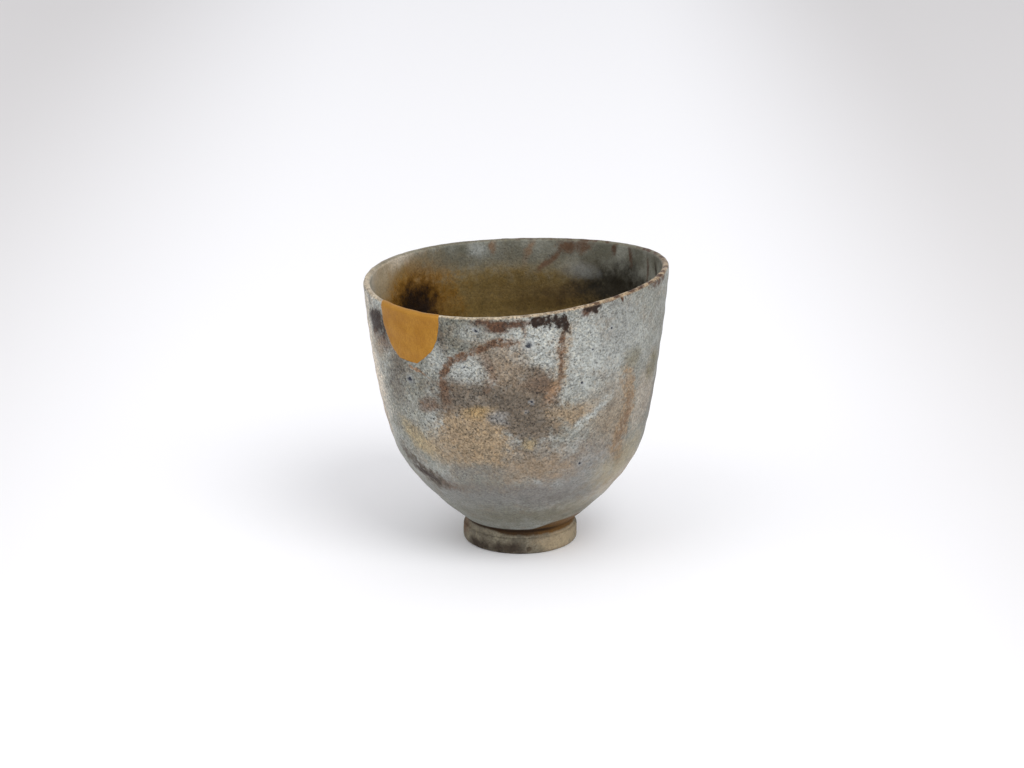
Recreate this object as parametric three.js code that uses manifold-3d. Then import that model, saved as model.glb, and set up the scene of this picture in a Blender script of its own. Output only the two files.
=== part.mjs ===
// A wood-fired stoneware teacup on a turned foot, its chipped rim made whole with lacquer and gold.
// Millimetres, +Z up. The cup stands on the plane z = 0, centred on its bounding box, and the chip
// faces the front left. A turn is an angle round the cup: 0 at the front, -Y, and +90 at the right, +X.
import * as THREE from "three";
import { mergeVertices } from "three/addons/utils/BufferGeometryUtils.js";
import Module from "manifold-3d";

const wasm = await Module();
wasm.setup();

const degrees = THREE.MathUtils.degToRad;

// The thrown form, before it warped in the kiln. Radii are of the outside.
const cupHeight = 78.7;
const rimRadius = 43.1;
const rimFlare = degrees(4.7); // the wall's lean outwards at the rim
const bellyRadius = 35.6;
const bellyHeight = 30.6; // where the upright wall turns into the bowl's round bottom
const bellyFlare = degrees(18.8); // the wall's lean outwards there
const bowlStart = degrees(47); // how steeply the bowl leaves its neck, from level

// How far each profile curve holds its heading at either end, as a share of its span.
const bowlHold = { neck: 0.09, belly: 0.385 };
const wallHold = { belly: 0.245, rim: 0.32 };
const wellHold = { belly: 0.25, middle: 0.33 };

// The clay's thickness.
const lipThickness = 2;
const wallThickness = 4.2; // at the belly
const floorThickness = 4.8; // between the well and the foot's recess

// The turned foot: a ring with a flat sole, a ledge above it, and a hollow underneath.
const ringHeight = 4.8; // the ring's upright face
const ledgeRise = 2.2; // from there up the ledge to the neck
const footRadius = 16.4;
const neckRadius = 15.8; // where the bowl meets the foot
const soleWidth = 3; // flat width that the cup stands on
const soleRound = 0.8; // rounding of the ring's lower edges
const recessDepth = 5.4;
const recessTaper = 1.2; // how much narrower the hollow is at its ceiling

// The warp. Each wave is a rise or a swell that grows from the foot to the rim.
const tiltRise = 2.2; // how much higher the rim is on the right than in the middle
const saddleRise = 0.95;
const ovalSwell = 0.55;
const rimTilt = { size: tiltRise, turn: degrees(90), waves: 1 };
const rimSaddle = { size: saddleRise, turn: degrees(70.6), waves: 2 };
const mouthOval = { size: ovalSwell, turn: degrees(-43), waves: 2 };
const rimDrift = -1.2; // the rim's centre lies this far along X from the foot's
const riseGrowth = 1.5; // powers of the height that the waves grow with
const ovalGrowth = 1.2;

// The chip, seen along the line that its flake came off on: its own width and depth, and the
// broken edge as shares of them, from the left end at the rim, down and round to the right end.
const chipTurn = degrees(-42.4); // the chip's middle on the rim
const flakeTurn = degrees(-15); // the way that the flake came off
const chipWidth = 19;
const chipDepth = 14.7;
const brokenEdge = [
  [-1, 0],
  [-0.97, 0.27],
  [-0.83, 0.56],
  [-0.59, 0.84],
  [-0.37, 0.98],
  [-0.07, 1],
  [0.22, 1],
  [0.47, 0.87],
  [0.76, 0.68],
  [0.93, 0.43],
  [1, 0.15],
  [1, 0],
];
const seam = 0.3; // gap left between the clay and the repair
const prismReach = 10; // how far the cutting prism runs past the wall and the lip

// Fineness of the faceted solids.
const turnSteps = 72;
const curveSteps = 9;
const lipSteps = 6;
const roundSteps = 2;
const mergeDistance = 1e-4;

const point = (x, y) => new THREE.Vector2(x, y);
const lipRadius = lipThickness / 2;
const footHeight = ringHeight + ledgeRise;
const wellHeight = recessDepth + floorThickness; // the inside floor, at the middle

// A smooth profile curve from one point to another. It leaves and arrives at given headings,
// which are angles from level towards +Z, and holds each for a share of the span.
function sweep(from, heading, leaveHold, to, arrival, arriveHold) {
  const span = from.distanceTo(to);
  const ahead = point(Math.cos(heading), Math.sin(heading)).multiplyScalar(leaveHold * span);
  const behind = point(Math.cos(arrival), Math.sin(arrival)).multiplyScalar(arriveHold * span);
  const curve = new THREE.CubicBezierCurve(from, from.clone().add(ahead), to.clone().sub(behind), to);
  return curve.getPoints(curveSteps);
}

// Points of an arc round a centre, from one angle to another.
function arc(centre, radius, start, end, steps) {
  return Array.from({ length: steps + 1 }, (_, i) => {
    const angle = start + ((end - start) * i) / steps;
    return point(centre.x + radius * Math.cos(angle), centre.y + radius * Math.sin(angle));
  });
}

// The half section of the foot, from the middle of the recess's ceiling out to the neck.
function footSection() {
  const outerRound = point(footRadius - soleRound, soleRound);
  const innerRound = point(footRadius - soleRound - soleWidth, soleRound);
  const recessRadius = innerRound.x - soleRound - recessTaper;
  return [
    point(0, recessDepth),
    point(recessRadius, recessDepth),
    ...arc(innerRound, soleRound, Math.PI, Math.PI * 1.5, roundSteps),
    ...arc(outerRound, soleRound, -Math.PI / 2, 0, roundSteps),
    point(footRadius, ringHeight),
    point(neckRadius, footHeight),
  ];
}

// The half section of the whole cup as it was thrown: foot, outside, lip, inside, down to the well.
function thrownSection() {
  const rimHeading = Math.PI / 2 - rimFlare;
  const bellyHeading = Math.PI / 2 - bellyFlare;
  const lipCentre = point(rimRadius - lipRadius, cupHeight - lipRadius);
  const neck = point(neckRadius, footHeight);
  const belly = point(bellyRadius, bellyHeight);
  const rim = point(rimRadius, lipCentre.y);
  const innerRim = point(rimRadius - lipThickness, lipCentre.y);
  const innerBelly = point(bellyRadius - wallThickness, bellyHeight);
  const well = point(0, wellHeight);
  return [
    ...footSection(),
    ...sweep(neck, bowlStart, bowlHold.neck, belly, bellyHeading, bowlHold.belly).slice(1),
    ...sweep(belly, bellyHeading, wallHold.belly, rim, rimHeading, wallHold.rim).slice(1),
    ...arc(lipCentre, lipRadius, 0, Math.PI, lipSteps).slice(1),
    ...sweep(innerBelly, bellyHeading, wallHold.belly, innerRim, rimHeading, wallHold.rim)
      .reverse()
      .slice(1),
    ...sweep(well, 0, wellHold.middle, innerBelly, bellyHeading, wellHold.belly).reverse().slice(1),
  ];
}

const swell = (wave, turn) => wave.size * Math.cos(wave.waves * (turn - wave.turn));

// How far up the bowl a height is: 0 at the foot, 1 at the rim.
const climb = (z) => Math.max(0, (z - footHeight) / (cupHeight - footHeight));

// Moves a point of the thrown form to where the kiln left it.
function warped(x, y, z) {
  const radius = Math.hypot(x, y);
  const turn = Math.atan2(x, -y);
  const share = climb(z);
  const stretch = 1 + (swell(mouthOval, turn) / rimRadius) * share ** ovalGrowth;
  const drift = rimDrift * Math.sin((Math.min(share, 1) * Math.PI) / 2);
  const rise = (swell(rimTilt, turn) + swell(rimSaddle, turn)) * share ** riseGrowth;
  return [radius * stretch * Math.sin(turn) + drift, -radius * stretch * Math.cos(turn), z + rise];
}

function warp(geometry) {
  const places = geometry.getAttribute("position");
  for (let i = 0; i < places.count; i += 1) {
    places.setXYZ(i, ...warped(places.getX(i), places.getY(i), places.getZ(i)));
  }
  return geometry;
}

// A closed geometry as a solid that can be cut and joined.
function solid(geometry) {
  geometry.deleteAttribute("normal");
  geometry.deleteAttribute("uv");
  const merged = mergeVertices(geometry, mergeDistance);
  return new wasm.Manifold(
    new wasm.Mesh({
      numProp: 3,
      vertProperties: new Float32Array(merged.getAttribute("position").array),
      triVerts: new Uint32Array(merged.index.array),
    }),
  );
}

function geometryOf(shape) {
  const mesh = shape.getMesh();
  const geometry = new THREE.BufferGeometry();
  geometry.setAttribute("position", new THREE.BufferAttribute(mesh.vertProperties, 3));
  geometry.setIndex(new THREE.BufferAttribute(mesh.triVerts, 1));
  geometry.computeVertexNormals();
  return geometry;
}

// The cup as it was before its rim was chipped.
function wholeCup() {
  const thrown = new THREE.LatheGeometry(thrownSection(), turnSteps);
  thrown.rotateX(Math.PI / 2);
  return solid(warp(thrown));
}

// The broken edge in millimetres, across and up from the rim, moved inwards by a margin.
function chipLine(margin) {
  const line = brokenEdge.map(([across, down]) => point((across * chipWidth) / 2, -down * chipDepth));
  return line.map((corner, i) => {
    const before = line[Math.max(i - 1, 0)];
    const after = line[Math.min(i + 1, line.length - 1)];
    const along = after.clone().sub(before).normalize();
    return point(corner.x - along.y * margin, corner.y + along.x * margin);
  });
}

// A prism through the wall at the chip, along the way that the flake came off, open past the lip.
function chipPrism(margin) {
  const line = chipLine(margin);
  const ends = [line[line.length - 1], line[0]].map(({ x }) => point(x, prismReach));
  const inward = wallThickness + prismReach;
  const prism = new THREE.ExtrudeGeometry(new THREE.Shape([...line, ...ends]), {
    depth: inward + prismReach,
    bevelEnabled: false,
  });
  const outward = new THREE.Vector3(Math.sin(flakeTurn), -Math.cos(flakeTurn), 0);
  const across = new THREE.Vector3(Math.cos(flakeTurn), Math.sin(flakeTurn), 0);
  const rim = [Math.sin(chipTurn) * rimRadius, -Math.cos(chipTurn) * rimRadius, cupHeight];
  const lip = new THREE.Vector3(...warped(...rim)).addScaledVector(outward, -inward);
  const placing = new THREE.Matrix4().makeBasis(across, new THREE.Vector3(0, 0, 1), outward);
  prism.applyMatrix4(placing.setPosition(lip));
  return solid(prism);
}

const glaze = new THREE.MeshStandardMaterial({ color: 0x8c8b84, roughness: 0.55, metalness: 0 });
const gold = new THREE.MeshStandardMaterial({ color: 0xb98436, roughness: 0.5, metalness: 0.6 });

function named(name, shape, material) {
  const mesh = new THREE.Mesh(geometryOf(shape), material);
  mesh.name = name;
  return mesh;
}

const whole = wholeCup();
const teacup = new THREE.Group();
teacup.add(named("cup_body", whole.subtract(chipPrism(0)), glaze));
teacup.add(named("gold_repair", whole.intersect(chipPrism(seam)), gold));

// The origin goes to the middle of the finished cup's box, on the plane that it stands on.
const middle = new THREE.Box3().setFromObject(teacup).getCenter(new THREE.Vector3());
teacup.position.set(-middle.x, -middle.y, 0);

export default teacup;
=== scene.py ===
from math import cos, degrees, pi, radians, sin

import bmesh
import bpy
import numpy as np
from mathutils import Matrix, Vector, noise


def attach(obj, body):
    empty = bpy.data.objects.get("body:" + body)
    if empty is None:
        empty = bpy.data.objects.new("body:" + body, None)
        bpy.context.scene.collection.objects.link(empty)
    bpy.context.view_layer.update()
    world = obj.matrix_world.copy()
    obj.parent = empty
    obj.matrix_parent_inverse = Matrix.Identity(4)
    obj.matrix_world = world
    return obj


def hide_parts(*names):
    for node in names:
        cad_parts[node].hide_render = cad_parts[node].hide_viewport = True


# A wood-fired stoneware teacup whose chipped lip was made whole with lacquer and gold.
# Metres, +Z up. A turn is an angle round the cup: 0 at the front, -Y, and +90 degrees at +X.

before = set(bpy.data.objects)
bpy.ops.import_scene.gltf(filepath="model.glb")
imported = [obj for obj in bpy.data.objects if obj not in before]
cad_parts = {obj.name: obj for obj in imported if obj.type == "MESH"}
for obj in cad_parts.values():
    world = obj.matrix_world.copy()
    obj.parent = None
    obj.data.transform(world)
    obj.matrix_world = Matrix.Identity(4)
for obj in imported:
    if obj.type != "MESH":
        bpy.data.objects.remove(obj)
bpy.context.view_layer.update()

MM = 0.001

# The thrown form, with the part's own sizes. Radii are of the outside.
CUP_HEIGHT = 78.7 * MM
RIM_RADIUS = 43.1 * MM
RIM_FLARE = radians(4.7)
BELLY_RADIUS = 35.6 * MM
BELLY_HEIGHT = 30.6 * MM
BELLY_FLARE = radians(18.8)
BOWL_START = radians(47)
BOWL_HOLD = (0.09, 0.385)  # how far each curve holds its heading at its ends: shares of its span
WALL_HOLD = (0.245, 0.32)
WELL_HOLD = (0.33, 0.25)
LIP_THICKNESS = 2 * MM
WALL_THICKNESS = 4.2 * MM
FLOOR_THICKNESS = 4.8 * MM

# The turned foot.
RING_HEIGHT = 4.8 * MM
LEDGE_RISE = 2.2 * MM
FOOT_RADIUS = 16.4 * MM
NECK_RADIUS = 15.8 * MM
SOLE_WIDTH = 3 * MM
SOLE_ROUND = 0.8 * MM
RECESS_DEPTH = 5.4 * MM
RECESS_TAPER = 1.2 * MM
NECK_GROOVE = 0.45 * MM  # the turning tool bit this deep where the bowl meets the foot
GROOVE_DROP = 0.2 * MM  # and this far below the neck
SHOULDER = radians(70)  # the ring's upper edge is rounded over this much

# The warp of the kiln. Each wave has its size, the turn of its crest and its number round the cup.
RIM_TILT = (2.2 * MM, radians(90), 1)
RIM_SADDLE = (0.95 * MM, radians(70.6), 2)
MOUTH_OVAL = (0.55 * MM, radians(-43), 2)
RIM_DRIFT = -1.2 * MM
RISE_GROWTH = 1.5
OVAL_GROWTH = 1.2

# The chip, seen along the line that its flake came off on: shares of its half width across and
# of its depth down, from its left end at the rim round to its right one.
CHIP_TURN = radians(-42.4)
FLAKE_TURN = radians(-15)
CHIP_WIDTH = 19 * MM
CHIP_DEPTH = 14.7 * MM
BROKEN_EDGE = [
    (-1, 0), (-0.97, 0.27), (-0.83, 0.56), (-0.59, 0.84), (-0.37, 0.98), (-0.07, 1),
    (0.22, 1), (0.47, 0.87), (0.76, 0.68), (0.93, 0.43), (1, 0.15), (1, 0),
]
CORNER_HOLD = 0.22  # how far the broken edge holds its heading at a corner: 0 is a sharp one
GOLD_LAP = 0.25 * MM  # the gold runs this far over the broken edge
GOLD_PROUD = 0.13 * MM  # and stands this far off the clay
GOLD_TUCK = 0.05 * MM  # its border starts this far under the glaze
GOLD_ROUND = 0.22 * MM  # rounds off over about this far
GOLD_BITE = 0.06 * MM  # and comes out of the glaze over about this far
BREAK_STEPS = 8  # points from one corner of the broken edge to the next
BREAK_GRAIN = 0.8 * MM  # width of its small teeth
BREAK_TEETH = 0.14 * MM  # and how far they stand out
CUT_REACH = 10 * MM  # how far the chip's cutter runs past the wall and the lip

# The clay's relief in millimetres: the width of its lumps or the pitch of its rings, and how far
# they rise. The rings sway with lumps this wide.
WIDE_LUMPS = (17, 0.26)
SMALL_LUMPS = (6, 0.10)
GRIT = (1.6, 0.03)
OUTER_RINGS = (5.4, 0.05)
INNER_RINGS = (7, 0.10)
RING_SWAY = 30
TOOL_MARKS = (1.3, 0.025)
TOOL_SWAY = 9
TOOL_REACH = 16  # the tool's marks fade out this far above the foot
LIP_NICKS = (3, 0.09)
FOOT_NICKS = (3, 0.07)
FOOT_LUMPS = (9, 0.10)
CALM_FOOT, CALM_LIP, CALM_SOLE = 6, 5, 1.2  # the lumps calm down this near to these

# Fineness of the pieces.
TURN_STEPS = 384
GOLD_STEPS = (84, 64, 14)  # across, up and over the lip
SHARP_EDGE = radians(42)
STEPS = {
    "ceiling": 6, "recess": 9, "round": 4, "sole": 4, "ring": 9, "shoulder": 5, "ledge": 7,
    "bowl": 50, "wall": 64, "lip": 16, "inside": 34, "well": 28,
}

DRIFT_SPAN = 56.0  # the glaze takes the rim's drift as grown in full this many millimetres up
FOOT_HEIGHT = RING_HEIGHT + LEDGE_RISE
LIP_RADIUS = LIP_THICKNESS / 2
LIP_HEIGHT = CUP_HEIGHT - LIP_RADIUS
WELL_HEIGHT = RECESS_DEPTH + FLOOR_THICKNESS


# Noises: the scale, how often finer ones are added, and how rough they make it.
NOISES = {
    "wide": (75, 2, 0.5), "fine": (650, 3, 0.6), "tear": (330, 5, 0.72),
    "coarse": (520, 3, 0.6), "mottle": (130, 5, 0.65), "drift": (34, 4, 0.6),
    "smoke": (190, 5, 0.7), "soot": (85, 5, 0.7), "fleck": (420, 3, 0.65), "grain": (1800, 3, 0.8),
    "brushed": (3.2, 4, 0.6), "powder": (2600, 2, 0.6), "cloud": (210, 4, 0.6), "spot": (330, 3, 0.6),
}

# Masks: where each starts and where it is whole, on the noise, the millimetres of height or the
# sine of the turn that it is read from, and from what to what it runs where that isn't 0 to 1.
MASKS = {
    "warm grain": (0.55, 0.95), "speck": (0.6, 1.2, 1.0, 0.0),
    "facing in": (-0.25, 0.35, 1.0, 0.0), "above foot": (7.6, 9.0),
    "pale": (0.38, 0.66), "slate": (0.45, 0.68, 0.0, 0.6),
    "drab": (0.5, 0.68, 0.0, 0.38), "soot": (0.52, 0.7, 0.0, 0.35),
    "fleck": (0.42, 0.6), "lip": (0.15, 0.75, 1.0, 0.0),
    "lip right": (-0.35, 0.75, 0.3, 1.0), "lip back": (0.1, -0.4),
    "inner shade": (0.4, 0.65), "inner olive": (70.0, 59.0), "inner deep": (60.0, 30.0),
    "inner moss": (0.5, 0.66, 0.0, 0.35),
    "clay": (0.35, 0.65), "foot soot": (0.42, 0.62, 0.0, 0.4),
    "band": (-0.5, 0.4), "band low": (-0.81, -0.15, 7.2, 5.5),
    "tide": (-0.4, 0.5), "tide right": (0.05, 0.68), "tide rise": (0.1, 0.68),
    "groove": (0.25, 0.9), "groove shade right": (0.43, 0.72, 0.9, 0.35),
    "sand up": (22.0, 44.0, 0.35, 1.0), "sand right": (0.05, 0.8, 1.0, 0.6),
    # The left mask makes the glaze lighter on the cup's left side: painted light.
    "painted light left": (-0.4, -0.85, 0.96, 1.06), "dry foot": (9.0, 6.5),
    "gold cloud": (0.35, 0.68), "gold brushed": (0.42, 0.7, 0.0, 0.5), "gold spot": (0.66, 0.76),
    "gold lip": (0.2, 2.2, 0.35, 0.0),
    "floor shade right": (0.06, 0.22), "floor shade left": (0.08, 0.28),
}

# The sand: how fine its grains and specks are, how much the grains' shades differ, by chance and
# by noise, how far a speck reaches, and the share of the places that have one.
GRAIN_SCALE = 1900
SPECK_SCALE = 1150
GRAIN_CHANCE = 0.75
GRAIN_DEPTH = 2.7
SPECK_REACH = (0.3, 0.06)
SPECK_SHARE = 0.5

# How far a layer's borders wander and fray, in millimetres, and how much they are torn.
BORDERS = {
    "broad": (6.0, 1.4, 1.6), "close": (2.4, 1.5, 2.0), "run": (1.4, 1.8, 1.4),
    "inner": (6.0, 1.6, 1.4), "inner run": (1.4, 1.5, 2.0), "foot": (1.5, 1.2, 1.8),
}
CRUMBLE = 2.6  # the runs outside are crumbled by this much more
RUN_NARROWING = 0.95  # a run lies where the wall is this much narrower than its rim
RUN_OVERLAP = 0.6  # of a run's half width, by which its parts reach past their ends

# The foot's brown, in millimetres: how far its borders stray, how high its tide stands on the left
# and how much higher on the right, and how high the groove is.
BAND_STRAY = 1.2
TIDE_STRAY = 0.9
TIDE_LEFT_HEIGHT = 7.4
TIDE_RISE = 3.2
GROOVE_MIDDLE = 6.9
WELL_CLEAR = 6.0  # keeps the tide off the well inside

# How much one thing counts in another: whether a face looks up, in whether it is inside, the torn
# noise in the lip's line and the line in the glaze, and the sand and the mottling over all.
TILT_OF_SIDE = 0.35
LIP_STRAY = 0.7
LIP_COVER = 0.8
SAND_INSIDE_LOSS = 0.65
SAND_WARMTH = 0.5
COARSE_SHADE = 0.45
MOTTLE_SHADE = 0.35

# The glaze's roughness, and what coarse sand, the inside and the dry foot do to it.
GLAZE_ROUGHNESS = 0.55
COARSE_ROUGHNESS = 0.35
INNER_GLOSS = 0.12
FOOT_ROUGHNESS = 0.3

# The bumps of the glaze and of the gold: how deep they are, and each thing's share in them.
GLAZE_BUMP = 0.10 * MM
GRAIN_BUMP = 0.5
SPECK_BUMP = 0.25
PIT_BUMP = 2.0
GOLD_BUMP = 0.04 * MM
POWDER_BUMP = 0.5

# A pit's pale ring is this many half widths of the pit across and up, and this strong. The pit is
# this much lower than wide, and torn by this much more than a stain.
PIT_RING = (2.2, 2.0)
PIT_RING_COVER = 0.3
PIT_UP = 0.9
PIT_TEAR = 4.0

# The gold: its roughness, how it is brushed round the cup, and how strong powder and spots are.
GOLD_ROUGHNESS = 0.5
CLOUD_ROUGHNESS = 0.3
BRUSH_ALONG = 43.0
BRUSH_UP = 0.25
POWDER_SHADE = 0.5
SPOT_COVER = 0.45


# The camera, which looks down a little on the middle of the cup.
CAMERA_LENS = 98.3
CAMERA_SENSOR = 36
CAMERA_CLIP = 0.01
CAMERA_SIDE = 0.00055
CAMERA_PIVOT = 0.040  # it rises round a point this high
CAMERA_DISTANCE = 0.800
CAMERA_RISE = radians(17.67)
CAMERA_AIM = Vector((-0.00118, 0, 0.04577))

# Two round lights that aim low on the cup, each with its place and its watts, and the sky.
LIGHTS = {
    "right_softbox": ((0.66, -0.88, 1.28), 11.0),
    "left_fill": ((-0.85, -0.65, 1.30), 3.2),
}
LIGHT_SIZE = 1.1
LIGHT_AIM = Vector((0, 0, 0.03))
SKY = (0.98, 0.98, 1.0, 1)
SKY_STRENGTH = 0.78

FLOOR_REACH = 4.0  # the floor's half width


def stand_camera():
    data = bpy.data.cameras.new("camera")
    data.lens = CAMERA_LENS
    data.sensor_width = CAMERA_SENSOR
    data.clip_start = CAMERA_CLIP
    camera = bpy.data.objects.new("camera", data)
    back, rise = CAMERA_DISTANCE * cos(CAMERA_RISE), CAMERA_DISTANCE * sin(CAMERA_RISE)
    camera.location = (CAMERA_SIDE, -back, CAMERA_PIVOT + rise)
    camera.rotation_euler = (CAMERA_AIM - camera.location).to_track_quat("-Z", "Y").to_euler()
    bpy.context.collection.objects.link(camera)
    bpy.context.scene.camera = camera


def hang_light(name, place, watts):
    data = bpy.data.lights.new(name, "AREA")
    data.shape = "DISK"
    data.size = LIGHT_SIZE
    data.energy = watts
    light = bpy.data.objects.new(name, data)
    light.location = place
    light.rotation_euler = (LIGHT_AIM - Vector(place)).to_track_quat("-Z", "Y").to_euler()
    bpy.context.collection.objects.link(light)


def linear(red, green, blue):
    """A colour as it is given, 0 to 255, in the light's own values."""
    shares = [value / 255 for value in (red, green, blue)]
    return tuple(s / 12.92 if s <= 0.04045 else ((s + 0.055) / 1.055) ** 2.4 for s in shares) + (1,)


class Bench:
    """Puts nodes in one tree. What is handed to a socket is a value or another node's output."""

    def __init__(self, tree):
        self.tree = tree

    def feed(self, node, given):
        for socket, value in dict(given).items():
            if isinstance(value, bpy.types.NodeSocket):
                self.tree.links.new(value, node.inputs[socket])
            else:
                node.inputs[socket].default_value = value

    def put(self, kind, given=(), out=0, **settings):
        node = self.tree.nodes.new("ShaderNode" + kind)
        for name, value in settings.items():
            setattr(node, name, value)
        self.feed(node, given)
        return node if out is None else node.outputs[out]

    def math(self, operation, first, second=0.0, third=0.0):
        given = {0: first, 1: second}
        if operation in ("MULTIPLY_ADD", "WRAP"):
            given[2] = third
        return self.put("Math", given, operation=operation)

    def plus(self, first, second):
        return self.math("ADD", first, second)

    def minus(self, first, second):
        return self.math("SUBTRACT", first, second)

    def times(self, first, second):
        return self.math("MULTIPLY", first, second)

    def over(self, first, second):
        return self.math("DIVIDE", first, second)

    def send(self, socket, value):
        self.tree.links.new(value, socket)

    def clamp(self, value):
        return self.put("Clamp", {0: value})

    def split(self, vector):
        node = self.put("SeparateXYZ", {0: vector}, out=None)
        return node.outputs[0], node.outputs[1], node.outputs[2]

    def join(self, x=0.0, y=0.0, z=0.0):
        return self.put("CombineXYZ", {0: x, 1: y, 2: z})

    def channels(self, colour):
        node = self.put("SeparateColor", {0: colour}, out=None)
        return node.outputs[0], node.outputs[1], node.outputs[2]

    def grey(self, value):
        return self.put("CombineColor", {0: value, 1: value, 2: value})

    def noise(self, vector, name, out=0):
        scale, detail, roughness = NOISES[name]
        given = {"Vector": vector, "Scale": scale, "Detail": detail, "Roughness": roughness}
        return self.put("TexNoise", given, out=out)

    def stir(self, noise_value, gain, base):
        """Adds a noise to a base, which the noise's middle value leaves as it is."""
        return self.math("MULTIPLY_ADD", self.minus(noise_value, 0.5), gain, base)

    def fade(self, value, low, high, start=0.0, end=1.0):
        given = {0: value, 1: low, 2: high, 3: start, 4: end}
        return self.put("MapRange", given, interpolation_type="SMOOTHSTEP", clamp=False)

    def mask(self, value, name):
        return self.fade(value, *MASKS[name])

    def blend(self, share, under, over, kind="MIX"):
        given = {0: share, 6: under, 7: over}
        return self.put("Mix", given, out=2, data_type="RGBA", blend_type=kind)

    def tint(self, colour, by):
        return self.blend(1.0, colour, by, "MULTIPLY")

    def group(self, name, given):
        """Puts in one of the node groups, and hands back its outputs."""
        node = self.tree.nodes.new("ShaderNodeGroup")
        node.node_tree = GROUPS[name]
        self.feed(node, given)
        return node.outputs


def new_group(name, inputs, outputs):
    """A node group with named sockets: its tree, its bench, what comes in and its exit."""
    tree = bpy.data.node_groups.new(name, "ShaderNodeTree")
    kinds = {"f": "NodeSocketFloat", "v": "NodeSocketVector", "c": "NodeSocketColor"}
    for label, kind in inputs:
        tree.interface.new_socket(label, in_out="INPUT", socket_type=kinds[kind])
    for label, kind in outputs:
        tree.interface.new_socket(label, in_out="OUTPUT", socket_type=kinds[kind])
    entry = tree.nodes.new("NodeGroupInput").outputs
    leave = tree.nodes.new("NodeGroupOutput").inputs
    return tree, Bench(tree), entry, leave


def wall_place_group():
    """Where a point lies on the wall: its turn from the front and from the back, its height and
    radius in millimetres, and how far it lies under the rim."""
    tree, b, entry, leave = new_group(
        "wall place",
        [("Point", "v")],
        [("Turn", "f"), ("Inner Turn", "f"), ("Height", "f"), ("Radius", "f"), ("Rim Drop", "f")],
    )
    x, y, z = b.split(entry["Point"])
    x, y, z = (b.times(value, 1 / MM) for value in (x, y, z))
    drifted = b.clamp(b.math("MULTIPLY_ADD", z, 1 / DRIFT_SPAN, -FOOT_HEIGHT / MM / DRIFT_SPAN))
    x = b.plus(x, b.math("MULTIPLY_ADD", drifted, -RIM_DRIFT / MM, RIM_DRIFT / MM))
    turn = b.math("ARCTAN2", x, b.times(y, -1.0))
    share = b.math("POWER", b.clamp(b.over(z, CUP_HEIGHT / MM)), RISE_GROWTH)
    once = b.minus(turn, RIM_TILT[1])
    tilt = b.times(b.math("COSINE", once), RIM_TILT[0] / MM)
    twice = b.times(b.minus(turn, RIM_SADDLE[1]), 2.0)
    saddle = b.times(b.math("COSINE", twice), RIM_SADDLE[0] / MM)
    rise = b.times(b.plus(tilt, saddle), share)
    thrown = b.minus(z, rise)
    b.send(leave["Turn"], turn)
    b.send(leave["Inner Turn"], b.math("ARCTAN2", x, y))
    b.send(leave["Height"], z)
    radius = b.put("VectorMath", {0: b.join(x, y)}, out=1, operation="LENGTH")
    b.send(leave["Radius"], radius)
    b.send(leave["Rim Drop"], b.minus(CUP_HEIGHT / MM, thrown))
    return tree


def ragged_group():
    """Shifts a turn and a height by a wide and a fine noise, so that the stains get torn borders."""
    tree, b, entry, leave = new_group(
        "ragged border",
        [("Wide", "c"), ("Fine", "c"), ("Turn", "f"), ("Height", "f"), ("Radius", "f"),
         ("Wander", "f"), ("Fray", "f")],
        [("Turn", "f"), ("Height", "f")],
    )
    wide = b.channels(entry["Wide"])
    fine = b.channels(entry["Fine"])
    shifts = []
    for axis in (0, 1):
        wander = b.times(b.minus(wide[axis], 0.5), entry["Wander"])
        fray = b.times(b.minus(fine[axis], 0.5), entry["Fray"])
        shifts.append(b.plus(wander, fray))
    across = b.over(shifts[0], b.math("MAXIMUM", entry["Radius"], 1.0))
    b.send(leave["Turn"], b.plus(entry["Turn"], across))
    b.send(leave["Height"], b.plus(entry["Height"], shifts[1]))
    return tree


def stain_group():
    """One oval stain on the wall, laid over a colour. Its middle is a turn in radians and a height,
    its sizes are half widths in millimetres, Lean turns it anticlockwise as seen from outside, and
    Tear breaks it up."""
    tree, b, entry, leave = new_group(
        "stain",
        [("Under", "c"), ("Tint", "c"), ("Turn", "f"), ("Height", "f"), ("Radius", "f"), ("Tear", "f"),
         ("Middle Turn", "f"), ("Middle Height", "f"), ("Across", "f"), ("Up", "f"), ("Lean", "f"),
         ("Soft", "f"), ("Cover", "f")],
        [("Colour", "c"), ("Mask", "f")],
    )
    aim = b.math("WRAP", b.minus(entry["Turn"], entry["Middle Turn"]), pi, -pi)
    across = b.times(aim, entry["Radius"])
    up = b.minus(entry["Height"], entry["Middle Height"])
    cosine, sine = b.math("COSINE", entry["Lean"]), b.math("SINE", entry["Lean"])
    along = b.times(up, b.over(sine, entry["Across"]))
    along = b.math("MULTIPLY_ADD", across, b.over(cosine, entry["Across"]), along)
    aside = b.times(up, b.over(cosine, entry["Up"]))
    slope = b.over(sine, entry["Up"])
    aside = b.minus(aside, b.times(across, slope))
    far = b.math("SQRT", b.math("MULTIPLY_ADD", along, along, b.times(aside, aside)))
    far = b.plus(far, entry["Tear"])
    start = b.minus(1.0, entry["Soft"])
    end = b.plus(1.0, entry["Soft"])
    worn = b.math("MULTIPLY_ADD", entry["Tear"], -0.5, 1.0)
    inner = b.fade(far, start, end, 1.0, 0.0)
    mask = b.clamp(b.times(inner, b.times(worn, entry["Cover"])))
    b.send(leave["Colour"], b.blend(mask, entry["Under"], entry["Tint"]))
    b.send(leave["Mask"], mask)
    return tree


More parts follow.
